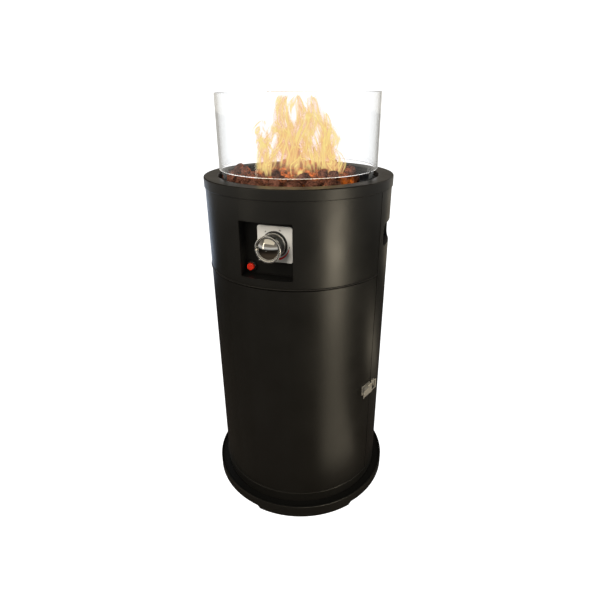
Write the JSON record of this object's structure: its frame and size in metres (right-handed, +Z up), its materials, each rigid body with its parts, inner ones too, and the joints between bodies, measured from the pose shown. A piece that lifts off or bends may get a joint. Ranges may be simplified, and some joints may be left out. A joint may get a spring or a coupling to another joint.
{
  "type": "outdoor gas heater",
  "caption": "Round outdoor gas heater: sheet column with bottle bay, latched front door, control recess, fire bowl with lava rocks, clear glass wind guard.",
  "frame": {"origin": "centre of the base on the floor", "axes": "+Z up along the axis of the column, -Y towards the controls and the door"},
  "size_m": [0.454, 0.454, 0.9575],
  "materials": {
    "graphite_coat": "satin powder coat",
    "black_coat": "matte black paint",
    "zinc_steel": "bright zinc plate",
    "black_hardware": "satin black plate",
    "stainless": "mill finish",
    "polished_chrome": "polished",
    "black_plastic": "fine matte",
    "satin_plate": "satin",
    "red_ink": "printed",
    "black_ink": "printed",
    "red_plastic": "moulded",
    "clear_glass": "clear",
    "silicone": "matte",
    "brass": "machined",
    "cast_aluminium": "cast",
    "lead_cover": "matte",
    "porcelain": "unglazed",
    "lava": "rough"
  },
  "bodies": {
    "housing": {"base_floor": "black_coat", "base_rim": "graphite_coat", "body_screws": "black_hardware", "bottle_ring": "black_coat", "bowl_support": "zinc_steel", "burner_ring": "stainless", "collar_ring": "graphite_coat", "control_box": "black_coat", "control_plate": "satin_plate", "electrode_rod": "stainless", "fire_bowl": "stainless", "foot_pads": "silicone", "gas_pipe": "zinc_steel", "gas_valve": "cast_aluminium", "glass_pads": "silicone", "glass_tabs": "stainless", "heat_shield": "zinc_steel", "hinge_fixed_leaves": "black_hardware", "hinge_fixed_screws": "black_hardware", "hinge_pins": "zinc_steel", "hose_inlet": "brass", "igniter_body": "black_plastic", "igniter_collar": "black_plastic", "injector": "brass", "knob_collar": "black_plastic", "latch_keeper": "zinc_steel", "lava_rocks": "lava", "left_grip": "black_plastic", "mixer_tube": "stainless", "partition_plate": "black_coat", "posts": "black_coat", "rear_shell": "graphite_coat", "right_grip": "black_plastic", "rock_tray": "stainless", "scale_arc": "red_ink", "scale_marks": "black_ink", "seam_straps": "black_coat", "shield_standoffs": "zinc_steel", "spark_electrode": "porcelain", "spark_lead": "lead_cover", "thermocouple": "stainless", "thermocouple_lead": "lead_cover", "top_cap": "graphite_coat", "upper_front_shell": "graphite_coat"},
    "door": {"front_door": "graphite_coat", "hinge_door_leaves": "black_hardware", "hinge_door_screws": "black_hardware", "latch_base": "zinc_steel", "latch_pivot": "zinc_steel"},
    "lever": {"latch_lever": "zinc_steel"},
    "bail": {"latch_bail": "zinc_steel"},
    "plunger": {"valve_plunger": "brass", "valve_spring": "zinc_steel"},
    "knob": {"knob_rear_ring": "polished_chrome", "knob_skirt": "black_plastic", "knob_front_ring": "polished_chrome", "knob_dome": "polished_chrome", "valve_stem": "stainless"},
    "igniter": {"igniter_button": "red_plastic"},
    "glass": {"glass_guard": "clear_glass"}
  },
  "joints": [
    {"name": "door_swing", "type": "hinge", "parent": "housing", "child": "door", "pos_m": [-0.20042, -0.05747, 0.3245], "axis": [0, 0, -1], "range_deg": [0, 110]},
    {"name": "latch_lever_swing", "type": "hinge", "parent": "door", "child": "lever", "pos_m": [0.20042, -0.06956, 0.316], "axis": [0, 0, 1], "range_deg": [0, 108]},
    {"name": "latch_bail_follow", "type": "hinge", "parent": "lever", "child": "bail", "pos_m": [0.19798, -0.07719, 0.316], "axis": [0, 0, 1], "range_deg": [-108, 0]},
    {"name": "knob_push", "type": "slide", "parent": "housing", "child": "plunger", "axis": [0, 1, 0], "range_m": [0, 0.0025], "stiffness_N_per_m": 1500, "springref_m": -0.003},
    {"name": "knob_turn", "type": "hinge", "parent": "plunger", "child": "knob", "pos_m": [0.0095, -0.19, 0.6825], "axis": [0, 1, 0], "range_deg": [0, 165]},
    {"name": "igniter_press", "type": "slide", "parent": "housing", "child": "igniter", "axis": [0, 1, 0], "range_m": [0, 0.004], "stiffness_N_per_m": 800, "springref_m": -0.003},
    {"name": "glass_lift", "type": "slide", "parent": "housing", "child": "glass", "axis": [0, 0, 1], "range_m": [0, 0.18]}
  ],
  "couplings": [
    {"joint": "latch_bail_follow", "follows": "latch_lever_swing", "ratio": -1}
  ]
}
